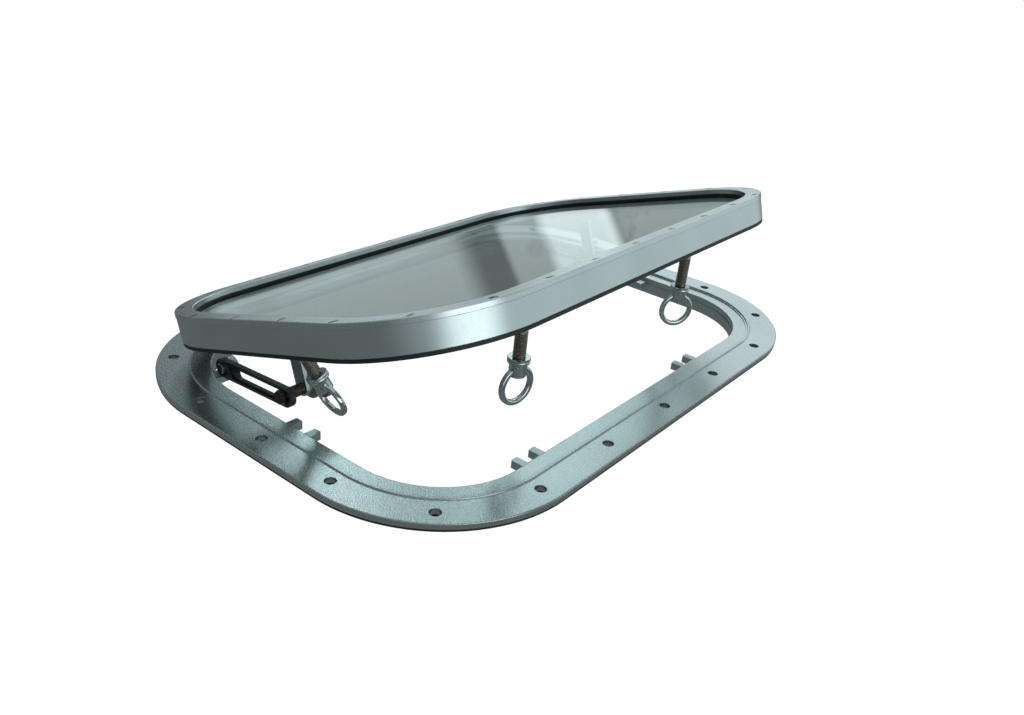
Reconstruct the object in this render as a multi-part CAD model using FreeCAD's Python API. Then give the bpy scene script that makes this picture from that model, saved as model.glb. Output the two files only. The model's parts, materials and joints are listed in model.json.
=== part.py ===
import FreeCAD, Part
import math
import os

# Ship window: a hull frame with an outward-opening glazed sash on two hinges.
# Four swing bolts with ring nuts clamp the sash, and two slotted stays hold it open.
# Millimetres. X runs along the hinges, -Y is the opening side, +Z is outboard.
# The origin is the middle of the frame's outer (top) face.

V = FreeCAD.Vector

# Hull frame
frame_length = 700.0
frame_width = 480.0
corner_radius = 149.0
flange_thick = 6.0
hull_gasket_thick = 2.5
hull_gasket_inset = 0.6
rim_width = 53.0
spigot_depth = 22.0
spigot_wall = 5.0
lip_drop = 7.0
lip_groove = 1.2
lip_groove_height = 2.0
bead_inset = 32.0
bead_width = 3.0
bead_height = 1.5
landing_inset = 37.0
landing_drop = 1.0
flange_edge_chamfer = 0.8

# Bolt holes through the flange
hole_diameter = 11.0
hole_inset = 19.0
long_side_pitch = 105.5
short_side_pitch = 90.5
corner_hole_from_end = 50.0
corner_hole_from_side = 59.0

# Sash
sash_inset = 28.5
ring_overhang = 0.4
seal_gap = 0.3
sash_gasket_thick = 3.2
sash_gasket_inset = 0.3
gasket_to_lug = 2.1
sash_depth = 24.7
sash_wall = 12.0
ledge_thick = 8.2
eye_to_ledge = 0.6
sash_edge_chamfer = 0.8
ring_thick = 5.3
ring_width = 18.0
ring_chamfer = 0.7

# Glass and its rubbers
glass_thick = 12.0
glass_edge_gap = 2.0
bed_seal_thick = 2.0
seal_side_gap = 0.3
bed_seal_setback = 1.5
top_seal_lip = 1.6

# Retaining ring screws
ring_screw_count = 28
ring_screw_inset = 34.7
ring_screw_head = 9.0
ring_screw_shank = 5.0
ring_screw_head_depth = 2.4
ring_screw_length = 12.0
ring_screw_hole_spare = 0.6
screw_clearance = 0.05

# Hinges on the +Y side
open_angle = 18.2
hinge_x = 158.0
hinge_axis_inset = 12.0
hinge_axis_z = 8.0
hinge_pin_diameter = 7.0
hinge_clearance = 0.05
knuckle_diameter = 15.0
knuckle_width = 14.0
knuckle_gap = 0.4
hinge_leaf_length = 66.0
hinge_leaf_depth = 21.0
hinge_leaf_thick = 3.0
hinge_plate_thick = 4.0
hinge_plate_height = 17.0
hinge_plate_corner = 3.0
hinge_pin_head = 10.0
hinge_pin_head_thick = 2.0

# Swing bolts
front_left_from_end = 178.0
front_right_from_end = 231.0
side_bolt_place = -4.0
front_left_nut_rest = 42.0
front_right_nut_rest = 51.0
side_nut_rest = 36.5
slot_from_wall = 13.0
bolt_pivot_z = 3.0
bolt_diameter = 12.0
bolt_length = 58.0
bolt_eye_diameter = 17.0
bolt_eye_thick = 10.0
bolt_pin_diameter = 8.0
pivot_clearance = 0.05
front_hang = 18.2
side_hang = 20.5

# Bolt lug under the sash
lug_ear_thick = 5.0
lug_ear_gap = 0.4
lug_foot_length = 48.0
lug_foot_thick = 3.6
lug_foot_taper = 7.0
lug_foot_overlap = 10.0
lug_ear_start = 4.0
lug_ear_trim = 2.5
lug_weld_lap = 0.3

# Washer and ring nut
washer_diameter = 21.0
washer_thick = 2.0
thread_clearance = 0.08
nut_face_gap = 0.05
nut_collar_diameter = 21.0
nut_collar_thick = 4.0
nut_neck_diameter = 16.5
nut_neck_length = 13.0
nut_neck_chamfer = 1.2
nut_collar_chamfer = 0.7
ring_centre_drop = 27.0
ring_mean_radius = 16.9
ring_section = 5.2
ring_corner = 1.3

# Fork lugs on the frame
fork_reach = 16.0
fork_top = -5.0
fork_height = 8.0
fork_slot = 17.0
fork_prong = 8.5
fork_root = 3.0
fork_tip_round = 1.2

# Stays
stay_from_spigot = 25.0
stay_thick = 6.0
stay_width = 20.0
stay_pocket = 1.6
stay_rim = 3.0
stud_from_hinge = 175.1
stud_drop = 62.8
sash_range = 25.0
stay_reach = 108.0
slot_start = 22.0
slot_end = 102.6
stud_diameter = 8.0
slot_side_gap = 0.8
stay_pin_diameter = 8.0
stay_pin_head = 11.0
stay_pin_head_thick = 2.6
stay_head_chamfer = 0.9
bracket_ear_thick = 7.0
bracket_foot_offset = 2.5
bracket_foot_width = 15.0
bracket_base = 7.0
bracket_base_gap = 1.2
bracket_side_gap = 0.5
slide_washer = 15.0
slide_washer_thick = 1.5
drop_thick = 4.0
drop_width = 16.0
drop_from_stay = 18.0
drop_foot_thick = 3.2
knob_diameter = 27.0
knob_length = 14.0
knob_hub_diameter = 16.0
knob_hub_length = 4.0
knob_gap = 0.3
knob_chamfer = 1.2
stud_head = 13.0
stud_head_thick = 2.6

# Small mounting screws
small_screw_shank = 4.0
small_screw_head = 8.0
small_screw_head_thick = 2.0
small_screw_length = 8.0
small_screw_chamfer = 0.7
screw_from_edge = 3.0
screw_hole_spare = 0.3
drill_run_in = 5.0

# Heights and places that follow from the sizes above
sash_gasket_low = bead_height + seal_gap
sash_low = sash_gasket_low + sash_gasket_thick
sash_high = sash_low + sash_depth
ring_high = sash_high + ring_thick
ledge_high = sash_low + ledge_thick
glass_low = ledge_high + bed_seal_thick
glass_high = glass_low + glass_thick
side_inset = sash_inset + ring_overhang
sash_inner_inset = side_inset + sash_wall
ledge_inner_inset = rim_width + slot_from_wall - bolt_eye_diameter / 2 - eye_to_ledge
glass_inset = sash_inner_inset + glass_edge_gap
ring_inner_inset = sash_inset + ring_width
flange_low = -flange_thick
half_length = frame_length / 2
half_width = frame_width / 2
corner_hole_x = half_length - corner_hole_from_end
corner_hole_y = half_width - corner_hole_from_side
sash_back_y = half_width - side_inset
hinge_axis_y = half_width - hinge_axis_inset
stay_x = half_length - rim_width - stay_from_spigot
stud_closed_y = hinge_axis_y - stud_from_hinge
stud_closed_z = hinge_axis_z - stud_drop
lug_foot_inset = rim_width - lug_foot_overlap

# Each swing bolt's place along its side of the closed sash, the side, its finger ring's turn in degrees,
# and how far below the pivot its nut rests
stations = {
    "front_left": (-(half_length - front_left_from_end), "front", -6.0, front_left_nut_rest),
    "front_right": (half_length - front_right_from_end, "front", -32.0, front_right_nut_rest),
    "left": (side_bolt_place, "left", -5.0, side_nut_rest),
    "right": (side_bolt_place, "right", 5.0, side_nut_rest),
}


def outline(inset):
    """Closed rounded-rectangle wire, this far inside the frame's edge, from the front's middle."""
    a = half_length - inset
    b = half_width - inset
    r = corner_radius - inset
    edges = []
    start = V(0, -b, 0)
    for cx, cy, turn in ((a - r, -b + r, -90), (a - r, b - r, 0), (-a + r, b - r, 90), (-a + r, -b + r, 180)):
        points = []
        for step in (0, 45, 90):
            angle = math.radians(turn + step)
            points.append(V(cx + r * math.cos(angle), cy + r * math.sin(angle), 0))
        edges.append(Part.LineSegment(start, points[0]).toShape())
        edges.append(Part.Arc(points[0], points[1], points[2]).toShape())
        start = points[2]
    edges.append(Part.LineSegment(start, V(0, -b, 0)).toShape())
    return Part.Wire(edges)


def slab(inset, low, high):
    """Rounded-rectangle plate between two heights."""
    plate = Part.Face(outline(inset)).extrude(V(0, 0, high - low))
    plate.translate(V(0, 0, low))
    return plate.removeSplitter()


def ring(outer, inner, low, high):
    """Rounded-rectangle ring between two insets and two heights."""
    return slab(outer, low, high).cut(slab(inner, low - 1, high + 1))


def inset_of(point):
    """How far a point lies inside the frame's edge."""
    dx = max(abs(point.x) - (half_length - corner_radius), 0)
    dy = max(abs(point.y) - (half_width - corner_radius), 0)
    if dx and dy:
        return corner_radius - math.hypot(dx, dy)
    return corner_radius - max(dx, dy)


def rim_edges(shape, inset, height):
    """The edges that follow the outline at one inset and one height."""
    found = []
    for edge in shape.Edges:
        middle = edge.valueAt((edge.FirstParameter + edge.LastParameter) / 2)
        if abs(middle.z - height) < 0.01 and abs(inset_of(middle) - inset) < 0.05:
            found.append(edge)
    return found


def rod(radius, length, base, direction):
    return Part.makeCylinder(radius, length, base, direction)


def block(x0, x1, y0, y1, z0, z1):
    return Part.makeBox(x1 - x0, y1 - y0, z1 - z0, V(x0, y0, z0))


def profile(points, depth, along):
    """Solid from a closed outline of corner points, pushed along a vector."""
    face = Part.Face(Part.makePolygon(points + [points[0]]))
    return face.extrude(along * depth)


def joined(first, others):
    return first.fuse(others).removeSplitter()


def turned(shape, centre, axis, angle):
    copy = shape.copy()
    copy.rotate(centre, axis, angle)
    return copy


def mirrored(shape):
    return shape.mirror(V(0, 0, 0), V(1, 0, 0))


def open_sash(shape):
    """Swing a piece of the closed sash to the opening that the part is stored at."""
    return turned(shape, V(0, hinge_axis_y, hinge_axis_z), V(1, 0, 0), -open_angle)


def moved_point(point):
    """Where a point of the closed sash goes when it is opened."""
    angle = math.radians(open_angle)
    y = point.y - hinge_axis_y
    z = point.z - hinge_axis_z
    return V(point.x, hinge_axis_y + y * math.cos(angle) + z * math.sin(angle),
             hinge_axis_z - y * math.sin(angle) + z * math.cos(angle))


# Hull frame

def flange_hole_points():
    a = half_length - hole_inset
    b = half_width - hole_inset
    points = []
    for side in (-1, 1):
        points += [(step * long_side_pitch, side * b) for step in (-2, -1, 0, 1, 2)]
        points += [(side * a, step * short_side_pitch) for step in (-1, 0, 1)]
        points += [(side * corner_hole_x, end * corner_hole_y) for end in (-1, 1)]
    return points


def drill_flange(shape):
    depth = flange_thick + hull_gasket_thick + bead_height + 2
    drills = [rod(hole_diameter / 2, depth, V(x, y, -depth + bead_height), V(0, 0, 1))
              for x, y in flange_hole_points()]
    return shape.cut(Part.makeCompound(drills))


def main_frame():
    """Flange with a sealing bead and a sunk landing, and the spigot that lines the cut-out."""
    flange = ring(0, rim_width, flange_low, 0)
    flange = flange.makeChamfer(flange_edge_chamfer, rim_edges(flange, 0, 0))
    spigot = ring(rim_width - spigot_wall, rim_width, -spigot_depth, flange_low)
    body = joined(flange, [spigot])
    body = body.cut(ring(landing_inset, rim_width + 1, -landing_drop, 1))
    groove_low = -lip_drop - lip_groove_height
    body = body.cut(ring(rim_width - lip_groove, rim_width + 1, groove_low, -lip_drop))
    body = body.makeFillet(landing_drop * 1.6, rim_edges(body, rim_width, -landing_drop))
    body = body.makeChamfer(flange_edge_chamfer, rim_edges(body, rim_width, -spigot_depth))
    bead = ring(bead_inset, bead_inset + bead_width, -landing_drop, bead_height)
    bead = bead.makeChamfer(bead_width / 4, rim_edges(bead, bead_inset, bead_height)
                           + rim_edges(bead, bead_inset + bead_width, bead_height))
    screws = [drill for drill in both_hinges(Part.makeCompound(hinge_leaf_drills()))]
    return drill_flange(joined(body, [bead])).cut(Part.makeCompound(screws))


def hull_gasket():
    low = flange_low - hull_gasket_thick
    return drill_flange(ring(hull_gasket_inset, rim_width - spigot_wall - 1, low, flange_low))


def fork():
    """Two prongs on a root plate: origin at the slot's axis, prongs towards +Y."""
    wall = -slot_from_wall
    low = fork_top - fork_height
    half = fork_slot / 2 + fork_prong
    tip = wall + fork_reach
    body = block(-half, half, wall, tip, low, fork_top)
    slot = block(-fork_slot / 2, fork_slot / 2, wall + fork_root, tip + 1, low - 1, fork_top + 1)
    body = body.cut(slot)
    tips = [edge for edge in body.Edges
            if abs(edge.CenterOfMass.y - tip) < 0.01 and abs(edge.CenterOfMass.z - (low + fork_top) / 2) < 0.01]
    return body.makeFillet(fork_tip_round, tips)


# Sash

def ring_screw_points():
    points = outline(ring_screw_inset).discretize(Number=2 * ring_screw_count + 1)
    return points[1::2]


def sash_frame():
    """Deep outer wall with a ledge inside its foot, drilled for the ring screws."""
    body = ring(side_inset, sash_inner_inset, sash_low, sash_high)
    ledge = ring(sash_inner_inset - 1, ledge_inner_inset, sash_low, ledge_high)
    body = joined(body, [ledge])
    body = body.makeChamfer(sash_edge_chamfer, rim_edges(body, side_inset, sash_low)
                            + rim_edges(body, ledge_inner_inset, sash_low))
    depth = ring_screw_length - ring_thick + ring_screw_hole_spare
    drills = [rod(ring_screw_shank / 2 + screw_clearance, depth + 1, V(p.x, p.y, sash_high - depth), V(0, 0, 1))
              for p in ring_screw_points()]
    for name in stations:
        drills.append(on_closed_sash(Part.makeCompound(lug_screw_drills()), name))
    drop = Part.makeCompound(drop_screw_drills())
    drills += [drop, mirrored(drop)]
    drills += both_hinges(Part.makeCompound(hinge_arm_drills()))
    return body.cut(Part.makeCompound(drills))


def sash_gasket():
    return ring(side_inset + sash_gasket_inset, lug_foot_inset - gasket_to_lug, sash_gasket_low, sash_low)


def glass_pane():
    return slab(glass_inset, glass_low, glass_high)


def bed_seal():
    """L-section rubber under the glass and up its edge."""
    foot = ring(sash_inner_inset + seal_side_gap, ledge_inner_inset - bed_seal_setback, ledge_high, glass_low)
    edge = ring(sash_inner_inset + seal_side_gap, glass_inset, glass_low, glass_high)
    return joined(foot, [edge])


def glazing_seal():
    """Rubber between the glass and the retaining ring, with its lip showing inside the ring."""
    return ring(sash_inner_inset + seal_side_gap, ring_inner_inset + top_seal_lip, glass_high, sash_high)


def countersink(radius_add, top):
    return Part.makeCone(ring_screw_shank / 2 + radius_add, ring_screw_head / 2 + radius_add, ring_screw_head_depth,
                         V(0, 0, top - ring_screw_head_depth), V(0, 0, 1))


def at_ring_screws(tool):
    copies = []
    for point in ring_screw_points():
        copy = tool.copy()
        copy.translate(V(point.x, point.y, 0))
        copies.append(copy)
    return Part.makeCompound(copies)


def retaining_ring():
    body = ring(sash_inset, ring_inner_inset, sash_high, ring_high)
    body = body.makeChamfer(ring_chamfer, rim_edges(body, sash_inset, ring_high)
                            + rim_edges(body, ring_inner_inset, ring_high))
    drill = rod(ring_screw_shank / 2 + screw_clearance, ring_thick + 2, V(0, 0, sash_high - 1), V(0, 0, 1))
    return body.cut(at_ring_screws(joined(drill, [countersink(screw_clearance, ring_high)])))


def ring_screws():
    shank = rod(ring_screw_shank / 2, ring_screw_length - ring_screw_head_depth,
                V(0, 0, ring_high - ring_screw_length), V(0, 0, 1))
    return at_ring_screws(joined(shank, [countersink(0, ring_high)]))


# Swing bolt fittings, built with the pivot at the origin and inboard towards +Y

def lug():
    """Screwed foot under the sash ledge, with two ears that reach in under the glass."""
    wall = -slot_from_wall + (ledge_inner_inset - rim_width)
    back = -slot_from_wall - lug_foot_overlap
    top = sash_low - bolt_pivot_z
    low = top - lug_foot_thick
    half = lug_foot_length / 2
    foot = profile([V(-half, back, top), V(half, back, top), V(half - lug_foot_taper, back, low),
                    V(-half + lug_foot_taper, back, low)], wall + lug_weld_lap - back, V(0, 1, 0))
    ears = []
    inner = bolt_eye_thick / 2 + lug_ear_gap
    eye = bolt_eye_diameter / 2 - lug_ear_trim
    for side in (-1, 1):
        x0 = min(side * inner, side * (inner + lug_ear_thick))
        reach = block(x0, x0 + lug_ear_thick, wall + lug_weld_lap, 0, low, eye)
        boss = rod(eye, lug_ear_thick, V(x0, 0, 0), V(1, 0, 0))
        ears.append(reach)
        ears.append(boss)
        ears.append(block(x0, x0 + lug_ear_thick, back + lug_ear_start, wall + lug_weld_lap, low, top))
    body = joined(foot, ears)
    bore = rod(bolt_pin_diameter / 2 + pivot_clearance, lug_foot_length, V(-half, 0, 0), V(1, 0, 0))
    return body.cut(bore).cut(Part.makeCompound(lug_screw_drills()))


def lug_screw_seats():
    """Where the two screw heads sit, under the foot."""
    x = lug_foot_length / 2 - lug_foot_taper - small_screw_head / 2 - 0.5
    y = -slot_from_wall - lug_foot_overlap + small_screw_head / 2 + screw_from_edge
    return [V(side * x, y, sash_low - bolt_pivot_z - lug_foot_thick) for side in (-1, 1)]


def lug_screw_drills():
    return [screw_drill(seat, V(0, 0, 1)) for seat in lug_screw_seats()]


def lug_screw_pair():
    return Part.makeCompound([small_screw(seat, V(0, 0, 1)) for seat in lug_screw_seats()])


def pivot_pin():
    half = bolt_eye_thick / 2 + lug_ear_gap + lug_ear_thick
    return rod(bolt_pin_diameter / 2, 2 * half + 2, V(-half - 1, 0, 0), V(1, 0, 0))


def swing_bolt():
    eye = rod(bolt_eye_diameter / 2, bolt_eye_thick, V(-bolt_eye_thick / 2, 0, 0), V(1, 0, 0))
    neck = bolt_eye_diameter / 2 - 1
    shank = rod(bolt_diameter / 2, bolt_length - neck, V(0, 0, -bolt_length), V(0, 0, 1))
    end = [edge for edge in shank.Edges if abs(edge.CenterOfMass.z + bolt_length) < 0.01]
    body = joined(eye, [shank.makeChamfer(1.0, end)])
    bore = rod(bolt_pin_diameter / 2 + pivot_clearance, bolt_eye_diameter, V(-bolt_eye_diameter / 2, 0, 0), V(1, 0, 0))
    return body.cut(bore)


def bolt_bore(top, length):
    return rod(bolt_diameter / 2 + thread_clearance, length + 1, V(0, 0, top - length), V(0, 0, 1))


def clamp_washer(nut_rest):
    low = -nut_rest + nut_face_gap
    disc = rod(washer_diameter / 2, washer_thick, V(0, 0, low), V(0, 0, 1))
    return disc.cut(bolt_bore(low + washer_thick, washer_thick + 1))


def finger_ring():
    """Ring with a square, chamfered section, in the XZ plane below the nut."""
    half = ring_section / 2
    flat = half - ring_corner
    section = [(half, flat), (flat, half), (-flat, half), (-half, flat),
               (-half, -flat), (-flat, -half), (flat, -half), (half, -flat)]
    points = [V(ring_mean_radius + a, b, -ring_centre_drop) for a, b in section]
    face = Part.Face(Part.makePolygon(points + [points[0]]))
    return face.revolve(V(0, 0, -ring_centre_drop), V(0, 1, 0), 360)


def ring_nut(nut_rest, ring_turn):
    """Round collar, neck and the finger ring that turns the nut."""
    collar = rod(nut_collar_diameter / 2, nut_collar_thick, V(0, 0, -nut_collar_thick), V(0, 0, 1))
    rims = [edge for edge in collar.Edges if abs(edge.Length - math.pi * nut_collar_diameter) < 0.01]
    collar = collar.makeChamfer(nut_collar_chamfer, rims)
    neck_low = -nut_collar_thick - nut_neck_length
    neck = rod(nut_neck_diameter / 2, nut_neck_length + 0.5, V(0, 0, neck_low), V(0, 0, 1))
    foot = [edge for edge in neck.Edges if abs(edge.CenterOfMass.z - neck_low) < 0.01]
    neck = neck.makeChamfer(nut_neck_chamfer, foot)
    body = joined(collar, [neck, finger_ring()]).cut(bolt_bore(0, ring_centre_drop))
    body = turned(body, V(0, 0, 0), V(0, 0, 1), ring_turn)
    body.translate(V(0, 0, -nut_rest))
    return body


def station_place(name):
    """Pivot point on the closed sash and the turn about Z that points inboard."""
    along, side = stations[name][:2]
    from_edge = rim_width + slot_from_wall
    if side == "front":
        return V(along, -(half_width - from_edge), bolt_pivot_z), 0
    if side == "left":
        return V(-(half_length - from_edge), along, bolt_pivot_z), -90
    return V(half_length - from_edge, along, bolt_pivot_z), 90


def on_frame(shape, name):
    place, turn = station_place(name)
    copy = turned(shape, V(0, 0, 0), V(0, 0, 1), turn)
    copy.translate(V(place.x, place.y, 0))
    return copy


def on_closed_sash(shape, name):
    place, turn = station_place(name)
    copy = turned(shape, V(0, 0, 0), V(0, 0, 1), turn)
    copy.translate(place)
    return copy


def on_sash(shape, name):
    return open_sash(on_closed_sash(shape, name))


def hanging(shape, name):
    """Swing a bolt's piece inboard to where it hangs, then put it on the open sash."""
    hang = front_hang if stations[name][1] == "front" else side_hang
    return on_sash(turned(shape, V(0, 0, 0), V(1, 0, 0), hang), name)


def swing_bolt_set(name):
    ring_turn, rest = stations[name][2:]
    return {
        "bolt_lug_" + name: on_sash(lug(), name),
        "pivot_pin_" + name: on_sash(pivot_pin(), name),
        "fork_" + name: on_frame(fork(), name),
        "swing_bolt_" + name: hanging(swing_bolt(), name),
        "clamp_washer_" + name: hanging(clamp_washer(rest), name),
        "ring_nut_" + name: hanging(ring_nut(rest, ring_turn), name),
    }


# Hinges, built at x = 0

def knuckle(x0, x1):
    return rod(knuckle_diameter / 2, x1 - x0, V(x0, hinge_axis_y, hinge_axis_z), V(1, 0, 0))


def hinge_bore():
    return rod(hinge_pin_diameter / 2 + hinge_clearance, hinge_leaf_length,
               V(-hinge_leaf_length / 2, hinge_axis_y, hinge_axis_z), V(1, 0, 0))


def hinge_screw_x():
    return hinge_leaf_length / 2 - small_screw_head / 2 - 0.5


def hinge_leaf_seats():
    return [V(side * hinge_screw_x(), half_width - hinge_leaf_depth / 2, hinge_leaf_thick) for side in (-1, 1)]


def hinge_arm_seats():
    return [V(side * hinge_screw_x(), sash_back_y + hinge_plate_thick, hinge_plate_mid()) for side in (-1, 1)]


def hinge_leaf_drills():
    return [screw_drill(seat, V(0, 0, -1)) for seat in hinge_leaf_seats()]


def hinge_arm_drills():
    return [screw_drill(seat, V(0, -1, 0)) for seat in hinge_arm_seats()]


def hinge_plate_mid():
    return sash_high - 1 - hinge_plate_height / 2


def hinge_leaf():
    """Flange leaf with two knuckles."""
    leaf = block(-hinge_leaf_length / 2, hinge_leaf_length / 2, half_width - hinge_leaf_depth - 1, half_width - 1,
                 0, hinge_leaf_thick)
    parts = []
    inner = knuckle_width / 2 + knuckle_gap
    notch = block(-inner, inner, half_width - hinge_leaf_depth - 2,
                  hinge_axis_y + knuckle_diameter / 2 + knuckle_gap, -1, hinge_leaf_thick + 1)
    leaf = leaf.cut(notch)
    for side in (-1, 1):
        x0 = min(side * inner, side * (inner + knuckle_width))
        parts.append(knuckle(x0, x0 + knuckle_width))
        parts.append(block(x0, x0 + knuckle_width, hinge_axis_y - knuckle_diameter / 2 + 1,
                           hinge_axis_y + knuckle_diameter / 2 - 1, 0, hinge_axis_z))
    return joined(leaf, parts).cut(hinge_bore()).cut(Part.makeCompound(hinge_leaf_drills()))


def hinge_arm():
    """Plate on the back of the sash with a strap to the middle knuckle."""
    low = hinge_plate_mid() - hinge_plate_height / 2
    plate = block(-hinge_leaf_length / 2, hinge_leaf_length / 2, sash_back_y, sash_back_y + hinge_plate_thick,
                  low, low + hinge_plate_height)
    corners = [edge for edge in plate.Edges
               if abs(edge.CenterOfMass.y - sash_back_y - hinge_plate_thick / 2) < 0.01 and abs(edge.CenterOfMass.x) > 1]
    plate = plate.makeFillet(hinge_plate_corner, corners)
    x0 = -knuckle_width / 2
    strap = profile([V(x0, sash_back_y + 1, low + 1), V(x0, hinge_axis_y, hinge_axis_z - knuckle_diameter / 2 + 1),
                     V(x0, hinge_axis_y + 2, hinge_axis_z + knuckle_diameter / 2 - 0.5),
                     V(x0, sash_back_y + 1, low + hinge_plate_height - 2)], knuckle_width, V(1, 0, 0))
    body = joined(plate, [strap, knuckle(x0, -x0)])
    return body.cut(hinge_bore()).cut(Part.makeCompound(hinge_arm_drills()))


def hinge_pin():
    half = knuckle_width * 1.5 + knuckle_gap
    pin = rod(hinge_pin_diameter / 2, 2 * half + 2, V(-half - 1, hinge_axis_y, hinge_axis_z), V(1, 0, 0))
    head = rod(hinge_pin_head / 2, hinge_pin_head_thick, V(half + 0.1, hinge_axis_y, hinge_axis_z), V(1, 0, 0))
    return joined(pin, [head])


def small_screw(head_seat, into):
    """Pan-head screw: seat of its head and the way its shank goes."""
    head = rod(small_screw_head / 2, small_screw_head_thick, head_seat - into * small_screw_head_thick, into)
    rim = [edge for edge in head.Edges if (edge.CenterOfMass - head_seat).Length > small_screw_head_thick / 2
           and abs(edge.Length - math.pi * small_screw_head) < 0.01]
    head = head.makeChamfer(small_screw_chamfer, rim)
    return joined(head, [rod(small_screw_shank / 2, small_screw_length, head_seat, into)])


def screw_drill(head_seat, into):
    """Hole for a small screw, a little deeper than its shank and open above its seat."""
    radius = small_screw_shank / 2 + screw_clearance
    depth = small_screw_length + screw_hole_spare
    return rod(radius, drill_run_in + depth, head_seat - into * drill_run_in, into)


def both_hinges(shape):
    copies = []
    for x in (-hinge_x, hinge_x):
        copy = shape.copy()
        copy.translate(V(x, 0, 0))
        copies.append(copy)
    return copies


# Stays, built on the -X side

def stay_points():
    """Clamp stud on the closed sash, and the arm's pivot: midway to the stud at half opening."""
    stud = V(-stay_x, stud_closed_y, stud_closed_z)
    angle = math.radians(sash_range / 2)
    y = stud.y - hinge_axis_y
    z = stud.z - hinge_axis_z
    middle = V(-stay_x, hinge_axis_y + y * math.cos(angle) + z * math.sin(angle),
               hinge_axis_z - y * math.sin(angle) + z * math.cos(angle))
    pivot = (middle + V(-stay_x, hinge_axis_y, hinge_axis_z)) * 0.5
    return stud, pivot


def stay_angle():
    """Rise of the stored arm above level, from its pivot to the stud."""
    stud, pivot = stay_points()
    now = moved_point(stud)
    return math.degrees(math.atan2(now.z - pivot.z, pivot.y - now.y))


def oblong(start, end, width, thick, x0):
    """Bar with round ends along -Y, from the pivot at the origin."""
    r = width / 2
    body = block(x0, x0 + thick, -end, -start, -r, r)
    ends = [rod(r, thick, V(x0, -place, 0), V(1, 0, 0)) for place in (start, end)]
    return joined(body, ends)


def stay_arm():
    """Slotted arm with raised rims, so that its section is a shallow channel."""
    stud, pivot = stay_points()
    r = stay_width / 2
    half = stay_thick / 2
    body = oblong(0, stay_reach - r, stay_width, stay_thick, -half)
    pocket = oblong(slot_start - 2, stay_reach - r, stay_width - 2 * stay_rim, stay_pocket, -half)
    body = body.cut(pocket)
    slot_width = stud_diameter + 2 * slot_side_gap
    slot = oblong(slot_start + slot_width / 2, slot_end - slot_width / 2, slot_width, stay_thick + 2, -half - 1)
    bore = rod(stay_pin_diameter / 2 + pivot_clearance, stay_thick + 2, V(-half - 1, 0, 0), V(1, 0, 0))
    body = body.cut(slot).cut(bore)
    body = turned(body, V(0, 0, 0), V(1, 0, 0), -stay_angle())
    body.translate(pivot)
    return body


def stay_bracket():
    """Foot on the spigot wall that passes under the arm and turns up beside it."""
    stud, pivot = stay_points()
    x_in = -stay_x + stay_thick / 2 + bracket_side_gap
    high = pivot.z - stay_width / 2 - bracket_base_gap
    low = high - bracket_base
    boss_radius = stay_width / 2
    y0 = pivot.y + bracket_foot_offset
    y1 = y0 + bracket_foot_width
    foot = block(-half_length + rim_width - spigot_wall, x_in + bracket_ear_thick, y0, y1, low, high)
    foot = foot.common(slab(rim_width, low, high))
    ear = profile([V(x_in, pivot.y - boss_radius, pivot.z), V(x_in, y0, low), V(x_in, y1, low), V(x_in, y1, high),
                   V(x_in, pivot.y + boss_radius, pivot.z)], bracket_ear_thick, V(1, 0, 0))
    boss = rod(boss_radius, bracket_ear_thick, V(x_in, pivot.y, pivot.z), V(1, 0, 0))
    body = joined(foot, [ear, boss])
    bore = rod(stay_pin_diameter / 2 + pivot_clearance, bracket_ear_thick + 2, V(x_in - 1, pivot.y, pivot.z), V(1, 0, 0))
    return body.cut(bore)


def stay_pin():
    stud, pivot = stay_points()
    x_out = -stay_x - stay_thick / 2 - 0.3
    length = stay_thick + 0.3 + bracket_side_gap + bracket_ear_thick + 1.5
    head = rod(stay_pin_head / 2, stay_pin_head_thick, V(x_out - stay_pin_head_thick, pivot.y, pivot.z), V(1, 0, 0))
    head = head.makeChamfer(stay_head_chamfer, [edge for edge in head.Edges if abs(edge.CenterOfMass.x - x_out) > 1
                                 and abs(edge.Length - math.pi * stay_pin_head) < 0.01])
    return joined(head, [rod(stay_pin_diameter / 2, length, V(x_out, pivot.y, pivot.z), V(1, 0, 0))])


def drop_x():
    return -stay_x + stay_thick / 2 + drop_from_stay


def drop_bracket():
    """Strip from under the sash ledge, inboard of the arm and down to the clamp stud."""
    stud, pivot = stay_points()
    x_foot = -half_length + lug_foot_inset + 2
    x0 = drop_x()
    y0 = stud.y - drop_width / 2
    y1 = stud.y + drop_width / 2
    foot = block(x_foot, x0 + drop_thick, y0, y1, sash_low - drop_foot_thick, sash_low)
    leg = block(x0, x0 + drop_thick, y0, y1, stud.z, sash_low)
    end = rod(drop_width / 2, drop_thick, V(x0, stud.y, stud.z), V(1, 0, 0))
    body = joined(foot, [leg, end])
    bore = rod(stud_diameter / 2 + pivot_clearance, drop_thick + 2, V(x0 - 1, stud.y, stud.z), V(1, 0, 0))
    return body.cut(bore).cut(Part.makeCompound(drop_screw_drills()))


def drop_screw_seats():
    stud, pivot = stay_points()
    x = -half_length + lug_foot_inset + small_screw_head / 2 + screw_from_edge
    spread = small_screw_head / 2 + 0.5
    return [V(x, stud.y + side * spread, sash_low - drop_foot_thick) for side in (-1, 1)]


def drop_screw_drills():
    return [screw_drill(seat, V(0, 0, 1)) for seat in drop_screw_seats()]


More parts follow.
